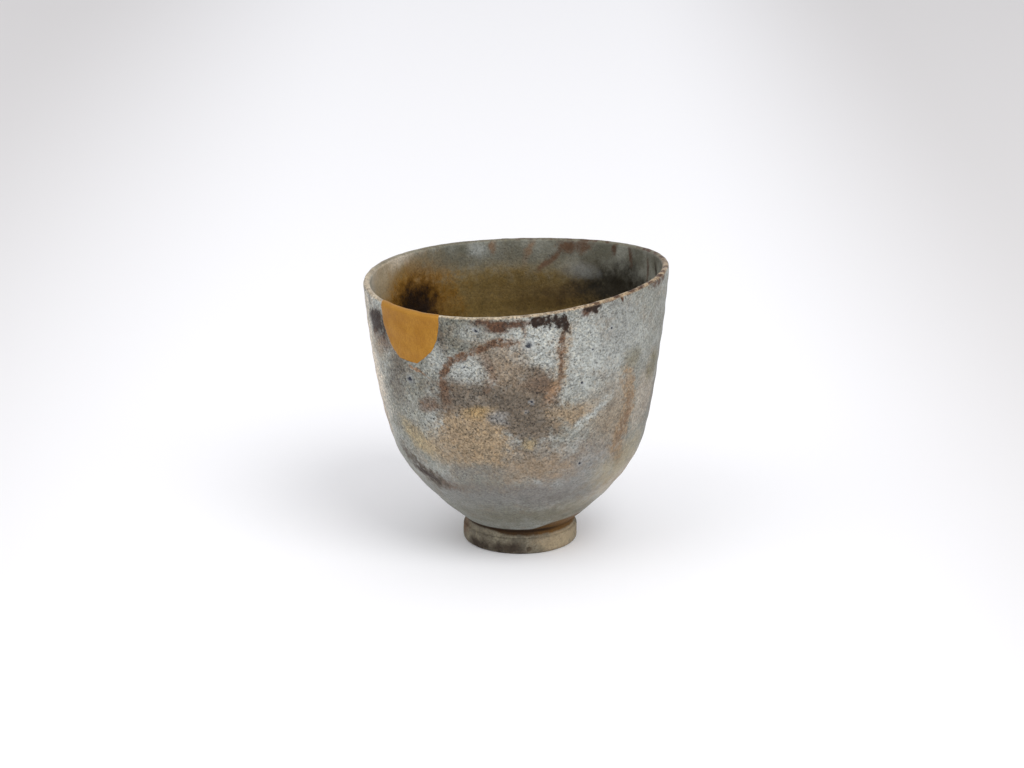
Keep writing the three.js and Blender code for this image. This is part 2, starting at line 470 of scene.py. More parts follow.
def sand_group():
    """The sand in the clay as it shows through the glaze. Shade wanders round 0 from grain to
    grain, Warm is a few grains of their own colour, and Speck the dark ones."""
    tree, b, entry, leave = new_group(
        "sand", [("Point", "v")], [("Shade", "f"), ("Warm", "f"), ("Speck", "f")]
    )
    point = entry["Point"]
    grains = b.put("TexVoronoi", {"Vector": point, "Scale": GRAIN_SCALE}, out=None, feature="F1")
    chance = b.channels(grains.outputs["Color"])
    fine = b.minus(b.noise(point, "grain"), 0.5)
    shade = b.times(b.minus(chance[0], 0.5), GRAIN_CHANCE)
    b.send(leave["Shade"], b.math("MULTIPLY_ADD", fine, GRAIN_DEPTH, shade))
    b.send(leave["Warm"], b.mask(chance[1], "warm grain"))
    specks = b.put("TexVoronoi", {"Vector": point, "Scale": SPECK_SCALE}, out=None, feature="F1")
    dice = b.channels(specks.outputs["Color"])
    reach = b.math("MULTIPLY_ADD", dice[1], *SPECK_REACH)
    near = b.mask(b.over(specks.outputs["Distance"], reach), "speck")
    some = b.math("LESS_THAN", dice[0], SPECK_SHARE)
    b.send(leave["Speck"], b.times(near, some))
    return tree


GROUPS = {
    "place": wall_place_group(),
    "ragged": ragged_group(),
    "stain": stain_group(),
    "sand": sand_group(),
}


def new_material(name):
    material = bpy.data.materials.new(name)
    material.use_nodes = True
    material.node_tree.nodes.clear()
    return material, Bench(material.node_tree)


def finish_material(b, colour, roughness, height, lift, plain):
    """Joins a finish to its shader. Lift is the bump's depth, plain the shader's fixed values."""
    bump = b.put("Bump", {"Strength": 1.0, "Distance": lift, "Height": height})
    given = {"Base Color": colour, "Roughness": roughness, "Normal": bump} | plain
    shader = b.put("BsdfPrincipled", given)
    b.put("OutputMaterial", {"Surface": shader}, out=None)


# The glaze, as listed colours.

ASH = linear(135, 137, 132)
PALE = linear(168, 173, 173)
SLATE = linear(112, 114, 108)
STEEL = linear(126, 128, 127)
CLOUD = linear(106, 97, 87)
SOOT = linear(90, 83, 75)
NIGHT = linear(42, 28, 19)
RUST = linear(100, 76, 59)
SIENNA = linear(134, 106, 82)
BROWN = linear(82, 58, 43)
DRAB = linear(132, 118, 102)
OCHRE = linear(150, 133, 110)
HONEY = linear(160, 137, 98)
CREAM = linear(162, 148, 118)
BLUSH = linear(170, 146, 124)
LILAC = linear(112, 107, 104)
ROSE = linear(164, 157, 147)
BLUE = linear(132, 132, 132)
OLIVE = linear(106, 100, 76)
MOSS = linear(108, 106, 94)
TAN = linear(144, 124, 100)
INNER_GREY = linear(146, 148, 141)
INNER_OLIVE = linear(124, 104, 60)
INNER_DEEP = linear(98, 85, 48)
AMBER = linear(146, 100, 8)
PITCH = linear(27, 13, 4)
UMBER = linear(54, 36, 18)
TREACLE = linear(92, 74, 36)
COAL = linear(34, 31, 23)
DUN = linear(168, 153, 128)
TOFFEE = linear(146, 120, 74)
MILK = linear(212, 203, 191)
CHALK = linear(208, 198, 178)
BISCUIT = linear(180, 157, 128)
BUFF = linear(150, 144, 126)
LIP_BACK = linear(118, 115, 100)
INNER_SHADE = linear(102, 102, 92)
CLAY_DARK = linear(112, 107, 95)
CLAY_PALE = linear(142, 136, 120)
TIDE_LEFT = linear(66, 48, 28)
TIDE_RIGHT = linear(106, 77, 40)
# Partly brown glaze and partly painted shade in the groove under the bowl.
GROOVE_BROWN_AND_SHADE = linear(44, 28, 12)
SPECK_TINT = linear(160, 156, 156)
PIT_RIM = linear(172, 178, 182)
PIT_HOLE = linear(36, 40, 52)
KILN_TINT = (0.97, 0.95, 0.90, 1)
WARM_TINT = (1.25, 1.12, 0.95, 1)
GOLD_DEEP = linear(164, 113, 32)
GOLD_BRIGHT = linear(179, 129, 46)
GOLD_BRUSHED = linear(147, 98, 26)
GOLD_SPOT = linear(104, 66, 20)
GOLD_LIP = linear(198, 146, 62)
FLOOR_WHITE = linear(253, 253, 255)
# The floor's grey is painted shade, laid on towards its sides.
FLOOR_SHADE_GREY = linear(223, 221, 221)

# Each stain: its colour, its middle as turn in degrees and height in millimetres, its half sizes
# across and up, its lean in degrees, how soft its border is, and how much it covers.
BROAD_STAINS = [
    (PALE, 32, 69, 19, 11, 0, 0.6, 0.85),
    (PALE, 6, 70, 10, 7, 0, 0.6, 0.85),
    (PALE, 40, 56, 8, 8, 0, 0.8, 0.6),
    (STEEL, 42, 71, 6, 8, 0, 0.8, 0.5),
    (SLATE, -23, 72, 9, 6.8, 0, 0.6, 0.95),
    (PALE, -15.5, 73, 4.5, 2.6, 0, 0.7, 0.6),
    (PALE, -70, 54, 6, 12, 0, 0.8, 0.6),
    # The milk stains at turns -84 and -74 are partly the glaze's pale colour and partly painted light
    # on the cup's left edge.
    (MILK, -84, 58, 9, 20, 0, 0.8, 0.85),
    (MILK, -74, 50, 5, 7, 0, 0.8, 0.6),
    (BUFF, 36, 15, 9, 4, 0, 0.8, 0.8),
    (MILK, 62, 23, 9, 4, 25, 0.8, 0.7),
    (ASH, -50, 50, 7, 8, 0, 0.7, 0.7),
    (SLATE, -38, 57, 7, 6, 0, 0.8, 0.5),
    (LILAC, 2, 23, 26, 4.5, 0, 0.7, 0.8),
    (STEEL, -22, 20, 16, 4, 0, 0.7, 0.7),
    (MOSS, 8, 13.5, 20, 4.2, 0, 0.8, 0.8),
    (BLUE, 30, 33, 13, 7.5, 15, 0.6, 0.8),
    (DRAB, 0, 35, 17, 6, 0, 0.7, 0.7),
    (CREAM, 56, 29, 9, 6, 20, 0.8, 0.6),
    (TAN, 43, 46.5, 7, 9, 0, 0.8, 0.55),
    (ROSE, 65, 48, 6, 9, 0, 0.45, 0.85),
    (CLOUD, -11, 51.5, 18, 8, -8, 0.4, 0.95),
    (CLOUD, 5, 50, 9, 11, 0, 0.4, 0.9),
    (DRAB, -6, 65.5, 8, 5.5, -20, 0.6, 0.8),
    (CREAM, -46, 38, 8, 2.8, -22, 0.6, 0.8),
    (OCHRE, -33, 37, 6, 4.5, 0, 0.7, 0.7),
    (OCHRE, -18, 41.5, 9.5, 8, -12, 0.3, 0.95),
    (STEEL, -18, 31.5, 8, 2, 0, 0.7, 0.6),
]
CLOSE_STAINS = [
    (CLOUD, 6, 59.5, 7, 4, -10, 0.6, 0.85),
    (RUST, 9, 58, 5, 2.6, -14, 0.7, 0.45),
    (SOOT, -3, 54.5, 8, 2.6, -10, 0.7, 0.5),
    (SOOT, 1, 48.5, 8, 3, -12, 0.7, 0.35),
    (SOOT, -27, 52.5, 5, 3, 0, 0.7, 0.45),
    (SOOT, -51, 59.6, 3.2, 3.8, 20, 0.7, 0.75),
    (SOOT, -55, 52.8, 3.6, 5.5, 0, 0.7, 0.65),
    (SLATE, -42, 54, 3, 4, 0, 0.8, 0.5),
    # This soot stain along the gold's right edge is partly dark glaze and partly a painted shadow
    # beside the gold.
    (SOOT, -28.6, 69.4, 1.5, 4.5, 6, 0.6, 0.75),
    (PALE, -31, 65, 2.2, 3.4, 0, 0.7, 0.6),
    (PALE, -18.2, 62.4, 4.6, 3.2, 10, 0.6, 0.75),
    (DRAB, -2, 61, 4, 4, 0, 0.8, 0.5),
    (RUST, -28.3, 54.5, 1.8, 4.6, 0, 0.7, 0.65),
    (RUST, -36.8, 49.8, 3.2, 2.0, 20, 0.7, 0.75),
    (RUST, -39, 24.6, 4.6, 1.2, -8, 0.7, 0.65),
    (SIENNA, 14, 55.5, 1.6, 3.4, -28, 0.7, 0.7),
    (OCHRE, 21, 48.3, 5.5, 2.6, -12, 0.8, 0.7),
    (TAN, 27, 49, 5, 3, 20, 0.8, 0.5),
    (HONEY, -14, 49.7, 4.0, 1.8, 8, 0.7, 0.65),
    (BLUE, -7.6, 48.2, 2.8, 2.0, 0, 0.6, 0.85),
    (CREAM, 4.8, 40.9, 2.0, 1.6, 0, 0.6, 0.6),
    (TAN, 9, 32, 9, 4, 0, 0.8, 0.5),
    (BLUSH, -77, 39, 2.4, 4.4, 0, 0.8, 0.6),
    (OLIVE, 51.5, 61, 3.6, 3.2, 0, 0.7, 0.6),
    (OLIVE, 69.5, 55.5, 4.2, 3.6, 20, 0.6, 0.8),
    (OLIVE, 51, 31.5, 2, 2, 0, 0.7, 0.6),
    (NIGHT, -64, 69.8, 6.6, 3.8, 0, 0.4, 1.0),
    (BROWN, -6.5, 75.2, 3.8, 1.7, 0, 0.6, 0.95),
    (NIGHT, -5.3, 74.9, 1.8, 0.9, 0, 0.6, 0.7),
    (BROWN, 27.5, 78.6, 2.6, 1.5, 12, 0.6, 0.9),
    (BROWN, -61, 64.6, 5, 2.2, -10, 0.7, 0.6),
    (TAN, -66, 62, 4, 3, 0, 0.8, 0.5),
]
# Runs are drawn through their points, each a turn and a height, with a half width.
RUNS = [
    (RUST, 1.15, 0.5, 0.85, [(0, 70.6), (-7, 70.5), (-11.5, 69.1), (-18, 66.4), (-24.5, 64.3),
                             (-27.2, 61.7), (-29.8, 58.8), (-28.6, 55.9)]),
    (RUST, 1.2, 0.8, 0.5, [(-12, 66), (-8, 61), (-11, 57)]),
    (SIENNA, 0.4, 0.6, 0.8, [(-44.5, 60.2), (-40, 59.7), (-36, 58.7)]),
    (SOOT, 0.5, 0.8, 0.6, [(-70, 78.5), (-69.5, 72.5)]),
    (MILK, 0.6, 0.8, 0.6, [(-74, 78.5), (-73.5, 70)]),
    (SOOT, 0.5, 0.8, 0.5, [(-77.5, 78), (-77, 69)]),
    (MILK, 0.6, 0.8, 0.5, [(-66.5, 78), (-66, 74)]),
    (SOOT, 2.6, 0.7, 0.85, [(-61, 32), (-55, 28.8), (-49.2, 27.2), (-45, 25.6), (-41, 24.6)]),
    (NIGHT, 1.2, 0.8, 0.75, [(-55, 28.4), (-48.5, 26.6), (-43, 25)]),
    (PALE, 1.1, 0.8, 0.75, [(40, 52), (31, 47.3), (25, 44.6)]),
    (BROWN, 1.0, 0.6, 0.8, [(-15, 76.3), (-9.2, 76.5), (-4.8, 75.6), (0.8, 76.1), (5, 76.4)]),
    (BROWN, 1.3, 0.5, 0.8, [(-9.5, 75.8), (-5, 75)]),
    (RUST, 0.6, 0.7, 0.6, [(2.5, 75), (3.3, 72.4)]),
    (TAN, 1.7, 0.8, 0.6, [(18.5, 73.5), (17.8, 68), (17.3, 63), (16, 58)]),
    (RUST, 0.75, 0.7, 0.85, [(17.9, 74.0), (17.2, 69.2), (17.3, 64.9), (16.5, 59.6)]),
    (NIGHT, 1.6, 0.35, 1.0, [(6.5, 76.6), (10, 76.7), (13.2, 76.6), (17.3, 76.8)]),
    (NIGHT, 1.45, 0.4, 1.0, [(15.8, 76.4), (18.2, 73.6)]),
    (NIGHT, 0.9, 0.4, 0.95, [(26, 78.9), (29.5, 79.1), (33, 79.7)]),
    (NIGHT, 0.65, 0.5, 0.95, [(30.2, 78.7), (31, 77.0)]),
    (BROWN, 0.5, 0.5, 0.9, [(36, 80.2), (42, 80.7), (50, 81.2)]),
    (BROWN, 0.5, 0.5, 0.9, [(42, 80.4), (42.6, 79.4)]),
    (BROWN, 1.3, 0.6, 0.8, [(62, 80.7), (72, 80.6)]),
    (TAN, 2.2, 0.8, 0.8, [(48.8, 57.4), (51.5, 51.7), (53, 45.8), (49.8, 41), (48, 36.4), (51, 31.9)]),
    (RUST, 1.1, 0.8, 0.45, [(52, 50), (53, 45.8), (49.8, 41), (48, 36.4)]),
    (BROWN, 1.6, 0.8, 0.6, [(140, 76), (152, 73), (160, 66), (163, 58)]),
    (RUST, 1.2, 0.8, 0.6, [(-120, 78), (-124, 70), (-122, 62)]),
    (NIGHT, 1.2, 0.5, 0.9, [(170, 77), (178, 76), (186, 76.4)]),
    (SIENNA, 0.6, 0.6, 0.8, [(178, 75), (179, 68), (177, 61)]),
]
BACK_STAINS = [
    (CLOUD, 150, 50, 22, 14, 12, 0.5, 0.85),
    (OCHRE, 168, 42, 11, 8, 0, 0.4, 0.8),
    (SLATE, -150, 58, 18, 12, 0, 0.7, 0.7),
    (PALE, 118, 66, 14, 10, 0, 0.7, 0.7),
    (LILAC, -130, 28, 22, 8, 0, 0.7, 0.7),
    (CREAM, -112, 44, 12, 6, 14, 0.7, 0.7),
    (SOOT, 136, 44, 8, 4, -20, 0.7, 0.6),
    (RUST, 176, 60, 3, 4, 0, 0.7, 0.6),
    (OLIVE, 112, 34, 10, 6, 0, 0.8, 0.5),
    (MOSS, 180, 15, 30, 5, 0, 0.8, 0.7),
    (CLOUD, 94, 44, 12, 11, -10, 0.5, 0.75),
    (SLATE, 100, 68, 14, 7, 0, 0.7, 0.7),
    (TAN, 84, 24, 12, 5, 12, 0.8, 0.6),
    (CLOUD, -108, 60, 12, 9, 14, 0.5, 0.75),
    (DRAB, -140, 44, 16, 7, -8, 0.6, 0.7),
    (HONEY, -126, 48, 5, 3, 0, 0.6, 0.6),
    (BROWN, -142, 76.5, 8, 1.8, 2, 0.6, 0.85),
    (BROWN, 120, 79, 7, 1.6, -4, 0.6, 0.85),
]
# Inside, a turn is measured from the back.
INNER_STAINS = [
    (INNER_OLIVE, -20, 62, 36, 9, 4, 0.7, 0.9),
    (INNER_OLIVE, 14, 60, 24, 5, 0, 0.8, 0.7),
    (TREACLE, 4, 61, 16, 6, 0, 0.8, 0.7),
    (TOFFEE, -56, 70.5, 14, 5, 6, 0.8, 0.85),
    (MILK, -66, 76.6, 14, 3.6, 6, 0.7, 0.9),
    (DUN, -72, 73.5, 8, 5, 6, 0.7, 0.85),
    (AMBER, -50, 62.5, 13, 8.8, 0, 0.6, 0.95),
    (UMBER, -49.5, 60.5, 10.5, 8.4, 0, 0.7, 0.75),
    (PITCH, -49.5, 59.6, 8.2, 8.0, 0, 0.5, 1.0),
    (SLATE, -10, 73, 26, 2.6, 0, 0.8, 0.5),
    (UMBER, 28, 63, 14, 3, 10, 0.8, 0.6),
    (COAL, 48, 67, 14.5, 7, 6, 0.6, 0.95),
    (STEEL, 28.5, 69, 5, 2.2, 0, 0.7, 0.75),
    (PALE, -15.5, 75.3, 3, 2, 0, 0.7, 0.85),
]
INNER_RUNS = [
    (SIENNA, 1.0, 0.6, 0.7, [(-9.5, 77.6), (-9.8, 74.6)]),
    (RUST, 1.9, 0.6, 0.85, [(30.5, 77.4), (24, 76.6), (19, 75.8)]),
    (RUST, 0.9, 0.7, 0.8, [(19.5, 76), (15.5, 72.6), (10, 69.5)]),
    (SIENNA, 0.9, 0.8, 0.6, [(6.5, 77.3), (4.0, 72.2)]),
    (BROWN, 0.9, 0.6, 0.9, [(43.5, 79), (43.5, 76.6)]),
    (BROWN, 0.9, 0.6, 0.85, [(52.5, 79), (54, 75)]),
    (BROWN, 0.7, 0.6, 0.8, [(66, 79), (69, 70)]),
    (NIGHT, 0.8, 0.6, 0.8, [(74, 79), (80, 73)]),
]
FOOT_STAINS = [
    # The first soot stain, low on the foot's left, is partly the clay's own dark and partly painted
    # shade along the bottom of the foot.
    (SOOT, -24, 1.4, 11, 2.6, 0, 0.6, 0.6),
    (NIGHT, -14, 1.8, 4.5, 1.7, 0, 0.7, 0.7),
    (NIGHT, -48, 1.6, 3.4, 1.6, 0, 0.7, 0.7),
    (NIGHT, 9, 1.7, 0.8, 0.7, 0, 0.4, 0.8),
    (DUN, 48, 3, 9, 3.0, 0, 0.6, 0.85),
    (RUST, -80, 4.5, 3.5, 2.5, 0, 0.7, 0.8),
    (SOOT, 140, 2.4, 7, 2, 0, 0.7, 0.6),
]
# Pits in the glaze: a turn, a height and a half width.
PITS = [(-14.3, 73.6, 0.45), (4.5, 69.8, 0.7), (-44.8, 56.4, 0.6), (28, 32.8, 0.45), (5.8, 53.2, 0.35),
        (3.5, 50.0, 0.3), (-19.5, 62.8, 0.3), (26, 57.5, 0.45), (38, 72, 0.35), (30, 66.8, 0.35),
        (-150, 62, 0.5), (128, 55, 0.5), (170, 36, 0.4)]


def parts_of(runs):
    """The short straight stains that runs are drawn with."""
    for colour, width, soft, cover, points in runs:
        for (turn, height), (next_turn, next_height) in zip(points, points[1:]):
            wide = radians(next_turn - turn) * RIM_RADIUS / MM * RUN_NARROWING
            tall = next_height - height
            half = (wide * wide + tall * tall) ** 0.5 / 2 + width * RUN_OVERLAP
            middle = ((turn + next_turn) / 2, (height + next_height) / 2)
            yield colour, *middle, half, width, degrees(np.arctan2(tall, wide)), soft, cover


def lay_stains(b, colour, place, stains):
    """Lays stains over a colour, in their order, and puts out the new colour."""
    for tint, turn, height, across, up, lean, soft, cover in stains:
        colour = b.group("stain", {
            "Under": colour, "Tint": tint, "Turn": place[0], "Height": place[1], "Radius": place[2],
            "Tear": place[3], "Middle Turn": radians(turn), "Middle Height": height,
            "Across": across, "Up": up, "Lean": radians(lean), "Soft": soft, "Cover": cover,
        })["Colour"]
    return colour


class Glaze:
    """The stoneware's glaze, and what its layers share: where a point lies, noises and masks."""

    def __init__(self, b):
        self.b = b
        self.point = b.put("TexCoord", out=3)
        self.wide = b.noise(self.point, "wide", out=1)
        self.fine = b.noise(self.point, "fine", out=1)
        self.tear = b.minus(b.noise(self.point, "tear"), 0.5)
        where = b.group("place", {"Point": self.point})
        self.turn, self.inner_turn, self.height = where["Turn"], where["Inner Turn"], where["Height"]
        self.radius, self.drop = where["Radius"], where["Rim Drop"]
        self.sand = b.group("sand", {"Point": self.point})
        self.inside = self.inner_side()
        self.rightward = b.math("SINE", self.turn)
        self.coarse = b.noise(self.point, "coarse")
        self.mottle = b.noise(self.point, "mottle")

    def inner_side(self):
        """Which way the surface looks tells the inside from the outside."""
        b = self.b
        normal = b.put("NewGeometry", out=1)
        flat = b.put("VectorMath", {0: self.point, 1: (1, 1, 0)}, operation="MULTIPLY")
        outward = b.put("VectorMath", {0: flat}, operation="NORMALIZE")
        facing = b.put("VectorMath", {0: normal, 1: outward}, out=1, operation="DOT_PRODUCT")
        upward = b.split(normal)[2]
        side = b.minus(facing, b.times(upward, TILT_OF_SIDE))
        above_foot = b.mask(self.height, "above foot")
        return b.times(b.mask(side, "facing in"), above_foot)

    def torn(self, turn, layer):
        """Where the stains of a layer see a point, with the layer's borders: for lay_stains."""
        wander, fray, tearing = BORDERS[layer]
        place = self.b.group("ragged", {
            "Wide": self.wide, "Fine": self.fine, "Turn": turn, "Height": self.height,
            "Radius": self.radius, "Wander": wander, "Fray": fray,
        })
        return place["Turn"], place["Height"], self.radius, self.b.times(self.tear, tearing)

    def outer_wall(self):
        b = self.b
        colour = b.blend(b.mask(b.noise(self.point, "drift"), "pale"), ASH, PALE)
        colour = b.blend(b.mask(self.mottle, "slate"), colour, SLATE)
        colour = lay_stains(b, colour, self.torn(self.turn, "broad"), BROAD_STAINS + BACK_STAINS)
        colour = b.blend(b.mask(b.noise(self.point, "smoke"), "drab"), colour, DRAB)
        colour = b.blend(b.mask(b.noise(self.point, "soot"), "soot"), colour, SOOT)
        colour = lay_stains(b, colour, self.torn(self.turn, "close"), CLOSE_STAINS)
        *place, tear = self.torn(self.turn, "run")
        crumbs = b.minus(b.channels(self.fine)[2], 0.5)
        tear = b.math("MULTIPLY_ADD", crumbs, CRUMBLE, tear)
        return lay_stains(b, colour, (*place, tear), parts_of(RUNS))

    def read_lip(self):
        """Where the lip's thin line and its flecks lie, and the line's colour round the cup."""
        b = self.b
        fleck = b.mask(b.noise(self.point, "fleck"), "fleck")
        self.lip = b.mask(b.math("MULTIPLY_ADD", self.tear, LIP_STRAY, self.drop), "lip")
        right = b.mask(self.rightward, "lip right")
        back = b.mask(b.math("COSINE", self.turn), "lip back")
        self.lip_tone = b.blend(back, b.blend(right, CHALK, BISCUIT), LIP_BACK)
        self.lip_flecks = (fleck, right)

    def with_lip(self, colour):
        """A wall with the lip's tan line and its brown flecks, which are thicker on the right."""
        b = self.b
        colour = b.blend(b.times(self.lip, LIP_COVER), colour, self.lip_tone)
        flecks = b.times(self.lip, b.times(*self.lip_flecks))
        return b.blend(flecks, colour, BROWN)

    def inner_wall(self):
        """Grey near the rim, olive and amber where the ash ran and pooled."""
        b = self.b
        colour = b.blend(b.mask(self.mottle, "inner shade"), INNER_GREY, INNER_SHADE)
        colour = b.blend(b.mask(self.height, "inner olive"), colour, INNER_OLIVE)
        colour = b.blend(b.mask(self.height, "inner deep"), colour, INNER_DEEP)
        colour = b.blend(b.mask(b.noise(self.point, "soot"), "inner moss"), colour, MOSS)
        colour = lay_stains(b, colour, self.torn(self.inner_turn, "inner"), INNER_STAINS)
        place = self.torn(self.inner_turn, "inner run")
        return lay_stains(b, colour, place, parts_of(INNER_RUNS))

    def with_foot(self, colour):
        """The foot, wiped nearly clean of glaze, under a brown tide that is higher on the right."""
        b = self.b
        foot = b.blend(b.mask(self.coarse, "clay"), CLAY_DARK, CLAY_PALE)
        foot = b.blend(b.mask(self.mottle, "foot soot"), foot, SOOT)
        foot = lay_stains(b, foot, self.torn(self.turn, "foot"), FOOT_STAINS)
        band = b.stir(self.coarse, BAND_STRAY, self.height)
        band = b.minus(band, b.mask(self.rightward, "band low"))
        tide_tone = b.blend(b.mask(self.rightward, "tide right"), TIDE_LEFT, TIDE_RIGHT)
        foot = b.blend(b.mask(band, "band"), foot, tide_tone)
        tide = b.mask(self.rightward, "tide rise")
        tide = b.math("MULTIPLY_ADD", tide, TIDE_RISE, TIDE_LEFT_HEIGHT)
        over = b.minus(b.stir(self.mottle, TIDE_STRAY, self.height), tide)
        over = b.math("MULTIPLY_ADD", self.inside, WELL_CLEAR, over)
        colour = b.blend(b.mask(over, "tide"), foot, colour)
        # The dark brown line in the groove where the bowl meets the foot, weaker on the right, is
        # partly brown glaze and partly painted shade in that crease.
        off = b.math("ABSOLUTE", b.minus(self.height, GROOVE_MIDDLE))
        groove = b.minus(1.0, b.mask(off, "groove"))
        dark = b.mask(self.rightward, "groove shade right")
        return b.blend(b.times(groove, dark), colour, GROOVE_BROWN_AND_SHADE)

    def with_sand(self, colour):
        """Sand, over all: strongest on the upper front, weaker inside, low down and to the right."""
        b = self.b
        strength = b.mask(self.height, "sand up")
        strength = b.times(strength, b.mask(self.rightward, "sand right"))
        kept = b.minus(1.0, b.times(self.inside, SAND_INSIDE_LOSS))
        strength = b.times(strength, kept)
        # Painted light: the glaze is made lighter on the cup's left side.
        shade = b.mask(self.rightward, "painted light left")
        shade = b.math("MULTIPLY_ADD", self.sand["Shade"], strength, shade)
        shade = b.stir(self.coarse, COARSE_SHADE, shade)
        shade = b.stir(self.mottle, MOTTLE_SHADE, shade)
        colour = b.tint(colour, b.grey(shade))
        colour = b.tint(colour, KILN_TINT)
        warmed = b.tint(colour, WARM_TINT)
        warmth = b.times(self.sand["Warm"], b.times(strength, SAND_WARMTH))
        colour = b.blend(warmth, colour, warmed)
        speckled = b.tint(colour, SPECK_TINT)
        return b.blend(b.times(self.sand["Speck"], strength), colour, speckled)

    def with_pits(self, colour):
        """Pits, each a dark torn hole with a pale ring round it. Puts out the holes as well."""
        b, pits = self.b, None
        outside = b.minus(1.0, self.inside)
        for turn, height, size in PITS:
            given = {
                "Turn": self.turn, "Height": self.height, "Radius": self.radius,
                "Middle Turn": radians(turn), "Middle Height": height, "Lean": 0.0, "Soft": 0.5,
                "Cover": outside, "Tear": b.times(self.tear, PIT_TEAR),
            }
            across, up = size * PIT_RING[0], size * PIT_RING[1]
            ring = {"Under": colour, "Tint": PIT_RIM, "Across": across, "Up": up}
            colour = b.blend(PIT_RING_COVER, colour, b.group("stain", given | ring)["Colour"])
            hole = {"Under": colour, "Tint": PIT_HOLE, "Across": size, "Up": size * PIT_UP}
            hole = b.group("stain", given | hole)
            colour = hole["Colour"]
            pits = hole["Mask"] if pits is None else b.math("MAXIMUM", pits, hole["Mask"])
        return colour, pits

    def roughness(self):
        b = self.b
        rough = b.stir(self.coarse, COARSE_ROUGHNESS, GLAZE_ROUGHNESS)
        rough = b.minus(rough, b.times(self.inside, INNER_GLOSS))
        dry = b.times(b.mask(self.height, "dry foot"), FOOT_ROUGHNESS)
        return b.plus(rough, dry)

    def bumps(self, pits):
        b = self.b
        bumps = b.math("MULTIPLY_ADD", self.sand["Shade"], GRAIN_BUMP, self.coarse)
        bumps = b.minus(bumps, b.times(self.sand["Speck"], SPECK_BUMP))
        return b.minus(bumps, b.times(pits, PIT_BUMP))


def stoneware_glaze():
    material, b = new_material("stoneware_glaze")
    glaze = Glaze(b)
    outer = glaze.outer_wall()
    glaze.read_lip()
    outer = glaze.with_lip(outer)
    inner = glaze.with_lip(glaze.inner_wall())
    colour = b.blend(glaze.inside, outer, inner)
    colour = glaze.with_sand(glaze.with_foot(colour))
    colour, pits = glaze.with_pits(colour)
    rough = glaze.roughness()
    plain = {"IOR": 1.5, "Specular IOR Level": 0.22}
    finish_material(b, colour, rough, glaze.bumps(pits), GLAZE_BUMP, plain)
    return material


def gold_lacquer():
    material, b = new_material("gold_lacquer")
    point = b.put("TexCoord", out=3)
    where = b.group("place", {"Point": point})
    along = b.times(where["Turn"], BRUSH_ALONG)
    brush = b.join(along, b.times(where["Height"], BRUSH_UP), where["Radius"])
    brushed = b.noise(brush, "brushed")
    powder = b.noise(point, "powder")
    cloud = b.noise(point, "cloud")
    colour = b.blend(b.mask(cloud, "gold cloud"), GOLD_DEEP, GOLD_BRIGHT)
    colour = b.blend(b.mask(brushed, "gold brushed"), colour, GOLD_BRUSHED)
    spot = b.mask(b.noise(point, "spot"), "gold spot")
    colour = b.blend(b.times(spot, SPOT_COVER), colour, GOLD_SPOT)
    colour = b.tint(colour, b.grey(b.stir(powder, POWDER_SHADE, 1.0)))
    colour = b.blend(b.mask(where["Rim Drop"], "gold lip"), colour, GOLD_LIP)
    rough = b.stir(cloud, CLOUD_ROUGHNESS, GOLD_ROUGHNESS)
    bumps = b.plus(brushed, b.times(powder, POWDER_BUMP))
    finish_material(b, colour, rough, bumps, GOLD_BUMP, {"Metallic": 0.55, "Specular IOR Level": 0.4})
    return material


def pale_floor():
    """A white sheet that darkens a little towards its sides, as it does in the photograph."""
    material, b = new_material("pale_floor")
    point = b.put("TexCoord", out=3)
    x = b.split(point)[0]
    # Painted shade: the sheet's white turns grey towards its sides.
    right = b.mask(x, "floor shade right")
    left = b.mask(b.times(x, -1.0), "floor shade left")
    shade = b.math("MAXIMUM", right, left)
    colour = b.blend(shade, FLOOR_WHITE, FLOOR_SHADE_GREY)
    given = {"Base Color": colour, "Roughness": 0.85, "Specular IOR Level": 0.1}
    shader = b.put("BsdfPrincipled", given)
    b.put("OutputMaterial", {"Surface": shader}, out=None)
    return material


def set_stage():
    bpy.context.scene.view_settings.view_transform = "Standard"
    bpy.context.scene.view_settings.look = "None"
    world = bpy.data.worlds.new("studio")
    world.use_nodes = True
    backdrop = world.node_tree.nodes["Background"]
    backdrop.inputs["Color"].default_value = SKY
    backdrop.inputs["Strength"].default_value = SKY_STRENGTH
    bpy.context.scene.world = world
    mesh = bpy.data.meshes.new("floor")
    signs = ((-1, -1), (1, -1), (1, 1), (-1, 1))
    corners = [(x * FLOOR_REACH, y * FLOOR_REACH, 0) for x, y in signs]
    mesh.from_pydata(corners, [], [(0, 1, 2, 3)])
    mesh.materials.append(pale_floor())
    floor = bpy.data.objects.new("floor", mesh)
    bpy.context.collection.objects.link(floor)
    for name, (place, watts) in LIGHTS.items():
        hang_light(name, place, watts)


# The thrown form.

def sweep(start, heading, leave_hold, end, arrival, arrive_hold, steps):
    """A smooth profile curve that leaves and arrives at given headings."""
    start, end = np.array(start), np.array(end)
    span = np.linalg.norm(end - start)
    ahead = start + leave_hold * span * np.array((cos(heading), sin(heading)))
    behind = end - arrive_hold * span * np.array((cos(arrival), sin(arrival)))
    t = np.linspace(0, 1, steps + 1)[:, None]
    return ((1 - t) ** 3 * start + 3 * (1 - t) ** 2 * t * ahead
            + 3 * (1 - t) * t ** 2 * behind + t ** 3 * end)


def arc(centre, radius, start, end, steps):
    angles = np.linspace(start, end, steps + 1)
    return np.stack((centre[0] + radius * np.cos(angles), centre[1] + radius * np.sin(angles)), 1)


def line(start, end, steps):
    return np.linspace(start, end, steps + 1)


